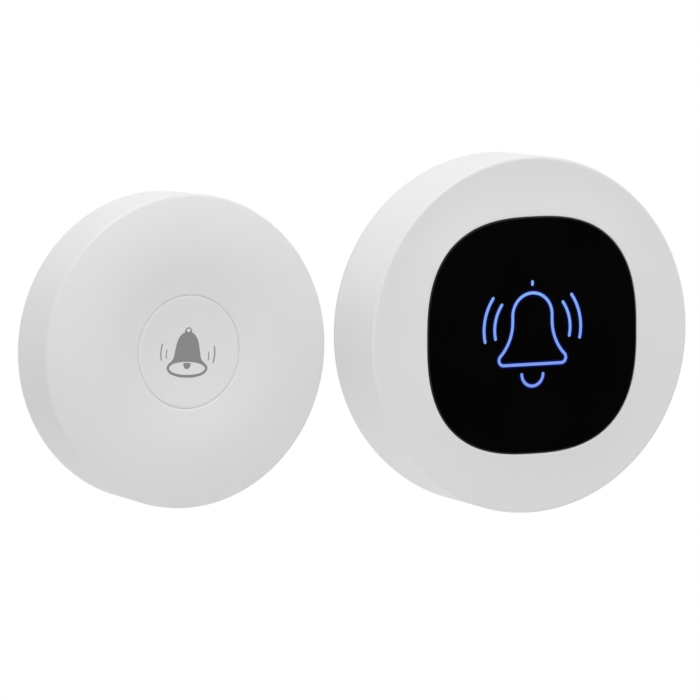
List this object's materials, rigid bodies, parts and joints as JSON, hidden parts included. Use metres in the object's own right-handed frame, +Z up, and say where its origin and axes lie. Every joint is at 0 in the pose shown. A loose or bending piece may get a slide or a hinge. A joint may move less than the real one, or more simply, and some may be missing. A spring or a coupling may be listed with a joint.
{
  "type": "kinetic wireless doorbell",
  "caption": "Round dished push button that generates its own power when pressed, beside a round plug-in chime with a flush dark lit panel.",
  "frame": {"origin": "centre of the chime's rear face, on the wall plane", "axes": "+Z up the wall, +Y into the wall, +X to the right seen from the front, so both faces look along -Y"},
  "size_m": [0.1594, 0.0572, 0.08],
  "materials": {
    "white_abs": "moulded white ABS, satin",
    "grey_abs": "moulded light grey ABS",
    "black_acrylic": "back-painted black acrylic, polished",
    "milky_acrylic": "milky light-spreading acrylic",
    "black_rubber": "black foam or silicone",
    "black_nylon": "black moulded nylon or epoxy",
    "steel": "zinc plated steel",
    "iron": "soft iron or ferrite",
    "magnet": "nickel plated magnet",
    "brass": "nickel plated brass",
    "copper": "enamelled copper",
    "circuit_board": "glass epoxy with green lacquer",
    "paper": "dark pressed paper"
  },
  "bodies": {
    "doorbell_set": {"push_cover": "white_abs", "push_base": "grey_abs", "push_foam_pad": "black_rubber", "push_gasket": "black_rubber", "push_springs": "steel", "cover_screws": "steel", "generator_frame": "grey_abs", "generator_core": "iron", "coil_bobbin": "black_nylon", "coil_winding": "copper", "coil_leads": "copper", "rocker_pin": "steel", "push_board": "circuit_board", "push_chips": "black_nylon", "push_capacitor": "black_rubber", "push_antenna": "copper", "chime_shell": "white_abs", "chime_rear_cover": "white_abs", "panel_lens": "black_acrylic", "panel_tape": "black_rubber", "light_diffuser": "milky_acrylic", "light_box": "white_abs", "led_board": "circuit_board", "leds": "milky_acrylic", "led_screws": "steel", "main_board": "circuit_board", "board_screws": "steel", "board_header": "black_nylon", "board_chips": "black_nylon", "transformer_core": "iron", "transformer_winding": "copper", "supply_capacitor": "black_rubber", "radio_module": "circuit_board", "chime_antenna": "copper", "plug_body": "white_abs", "plug_pins": "brass", "plug_sleeves": "black_nylon", "plug_contacts": "copper", "speaker_frame": "iron", "speaker_gasket": "black_rubber", "speaker_yoke": "steel", "speaker_magnet": "magnet", "speaker_surround": "black_rubber", "speaker_leads": "copper", "speaker_screws": "steel", "key_switches": "black_nylon", "case_screws": "steel"},
    "push_button": {"push_cap": "white_abs", "cap_seal": "black_rubber"},
    "rocker": {"rocker_arm": "white_abs", "rocker_magnet": "magnet", "pole_plates": "iron"},
    "volume_button": {"volume_key": "white_abs", "volume_plunger": "black_nylon"},
    "melody_button": {"melody_key": "white_abs", "melody_plunger": "black_nylon"},
    "speaker_cone_body": {"speaker_cone": "paper", "dust_cap": "paper", "voice_coil": "copper"}
  },
  "joints": [
    {"name": "button_press", "type": "slide", "parent": "doorbell_set", "child": "push_button", "axis": [0, 1, 0], "range_m": [0, 0.0015], "stiffness_N_per_m": 1500, "deforming": ["push_springs"]},
    {"name": "rocker_swing", "type": "hinge", "parent": "doorbell_set", "child": "rocker", "pos_m": [-0.0945, -0.00682, 0], "axis": [0, 0, 1], "range_deg": [0, 8.2]},
    {"name": "volume_press", "type": "slide", "parent": "doorbell_set", "child": "volume_button", "axis": [-0.9781, 0, -0.2079], "range_m": [0, 0.0005], "stiffness_N_per_m": 2000},
    {"name": "melody_press", "type": "slide", "parent": "doorbell_set", "child": "melody_button", "axis": [-0.9781, 0, 0.2079], "range_m": [0, 0.0005], "stiffness_N_per_m": 2000},
    {"name": "cone_travel", "type": "slide", "parent": "doorbell_set", "child": "speaker_cone_body", "axis": [0, 1, 0], "range_m": [-0.0003, 0.0003], "stiffness_N_per_m": 1500, "deforming": ["speaker_surround"]}
  ],
  "couplings": [
    {"joint": "rocker_swing", "follows": "button_press", "rad_per_m": 95.238}
  ]
}
